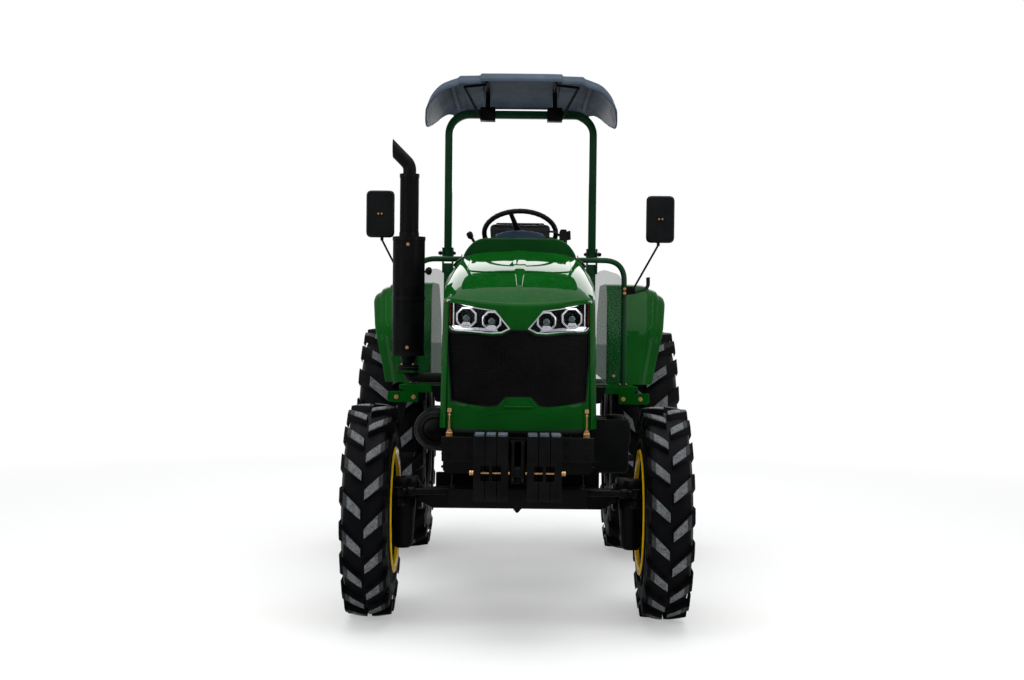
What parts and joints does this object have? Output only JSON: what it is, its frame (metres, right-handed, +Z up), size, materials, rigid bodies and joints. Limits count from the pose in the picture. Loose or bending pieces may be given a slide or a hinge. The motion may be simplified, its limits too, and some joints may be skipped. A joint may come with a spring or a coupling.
{
  "type": "farm tractor",
  "caption": "Farm tractor with open platform, folding roll bar and canopy, opening hood, driven steered front axle, front weights and rear three-point linkage.",
  "frame": {"origin": "on the ground below the middle of the overall box", "axes": "+Z up, the tractor faces -Y, +X is on its left-hand side"},
  "size_m": [1.856, 3.77, 2.8],
  "materials": {
    "tyre": "matte black rubber, lug faces rubbed grey",
    "rim": "gloss yellow paint",
    "green": "gloss green paint",
    "cowl_green": "gloss green paint",
    "cast": "dark painted casting",
    "black_cast": "black painted casting",
    "black_steel": "satin black paint",
    "steel": "bright steel",
    "grille": "matte black mesh",
    "canopy": "slate grey moulding",
    "rops": "dark green paint",
    "vinyl": "dark vinyl",
    "black_plastic": "black plastic",
    "lamp": "clear-fronted lamp housing",
    "zinc": "yellow zinc plate",
    "clear": "clear sheet"
  },
  "bodies": {
    "chassis": {"front_axle_beam": "black_cast", "front_frame": "black_cast", "front_weights": "black_cast", "engine": "cast", "radiator": "black_steel", "transmission": "cast", "rear_axle": "cast", "drawbar": "black_steel", "exhaust": "black_steel", "air_cleaner": "black_plastic", "fuel_tank": "black_plastic", "dash_cowl": "cowl_green", "dash_controls": "black_plastic", "steering_column": "black_plastic", "platform": "green", "fenders": "green", "handrails": "green", "clear_guards": "clear", "mirrors": "black_plastic", "seat_frame": "black_steel", "seat_cushions": "vinyl", "rops_posts": "rops", "top_link": "black_steel"},
    "steer_left_body": {"knuckle_left": "black_cast"},
    "steer_right_body": {"knuckle_right": "black_cast"},
    "front_wheel_left": {"tyre_front_left": "tyre", "wheel_front_left": "rim"},
    "front_wheel_right": {"tyre_front_right": "tyre", "wheel_front_right": "rim"},
    "rear_wheel_left": {"tyre_rear_left": "tyre", "wheel_rear_left": "rim"},
    "rear_wheel_right": {"tyre_rear_right": "tyre", "wheel_rear_right": "rim"},
    "rods": {"steering_rods": "steel"},
    "wheel_rim_hand": {"steering_wheel": "black_plastic"},
    "hood_body": {"hood": "green", "grille": "grille", "headlamps": "lamp", "hood_latches": "zinc"},
    "roll_hoop": {"rops_hoop": "rops", "canopy": "canopy", "canopy_brackets": "black_steel"},
    "links": {"lower_links": "black_steel"},
    "arms": {"lift_arms": "black_steel"},
    "lift_rod_body": {"lift_rods": "steel"}
  },
  "joints": [
    {"name": "steer_left", "type": "hinge", "parent": "chassis", "child": "steer_left_body", "pos_m": [0.54, -1.125, 0.56], "axis": [0, 0, 1], "range_deg": [-35, 35]},
    {"name": "steer_right", "type": "hinge", "parent": "chassis", "child": "steer_right_body", "pos_m": [-0.54, -1.125, 0.56], "axis": [0, 0, 1], "range_deg": [-36, 36]},
    {"name": "steering_rod_slide", "type": "slide", "parent": "chassis", "child": "rods", "axis": [1, 0, 0], "range_m": [-0.102, 0.102]},
    {"name": "steering_wheel_turn", "type": "hinge", "parent": "chassis", "child": "wheel_rim_hand", "pos_m": [0, 0.185, 1.872], "axis": [0, 0.5736, 0.8191], "range_deg": [-560, 560]},
    {"name": "spin_front_left", "type": "hinge", "parent": "steer_left_body", "child": "front_wheel_left", "pos_m": [0.685, -1.125, 0.5], "axis": [1, 0, 0], "continuous": true},
    {"name": "spin_front_right", "type": "hinge", "parent": "steer_right_body", "child": "front_wheel_right", "pos_m": [-0.685, -1.125, 0.5], "axis": [1, 0, 0], "continuous": true},
    {"name": "spin_rear_left", "type": "hinge", "parent": "chassis", "child": "rear_wheel_left", "pos_m": [0.728, 1.055, 0.67], "axis": [1, 0, 0], "continuous": true},
    {"name": "spin_rear_right", "type": "hinge", "parent": "chassis", "child": "rear_wheel_right", "pos_m": [-0.728, 1.055, 0.67], "axis": [1, 0, 0], "continuous": true},
    {"name": "hood_open", "type": "hinge", "parent": "chassis", "child": "hood_body", "pos_m": [0, -0.287, 1.718], "axis": [-1, 0, 0], "range_deg": [0, 55]},
    {"name": "rops_fold", "type": "hinge", "parent": "chassis", "child": "roll_hoop", "pos_m": [0, 1.115, 1.792], "axis": [-1, 0, 0], "range_deg": [0, 90]},
    {"name": "hitch_lift", "type": "hinge", "parent": "chassis", "child": "links", "pos_m": [0, 1.145, 0.52], "axis": [1, 0, 0], "range_deg": [-6, 25]},
    {"name": "lift_arm_turn", "type": "hinge", "parent": "chassis", "child": "arms", "pos_m": [0, 1.115, 1.04], "axis": [1, 0, 0], "range_deg": [-9, 36]},
    {"name": "lift_rod_turn", "type": "hinge", "parent": "arms", "child": "lift_rod_body", "pos_m": [0, 1.395, 1.075], "axis": [1, 0, 0], "range_deg": [-32, 9]}
  ],
  "couplings": [
    {"joint": "steer_right", "follows": "steer_left", "ratio": 1},
    {"joint": "steering_rod_slide", "follows": "steer_left", "m_per_rad": 0.165},
    {"joint": "steering_wheel_turn", "follows": "steer_left", "ratio": 15},
    {"joint": "lift_arm_turn", "follows": "hitch_lift", "ratio": 1.38},
    {"joint": "lift_rod_turn", "follows": "hitch_lift", "ratio": -1.22}
  ]
}
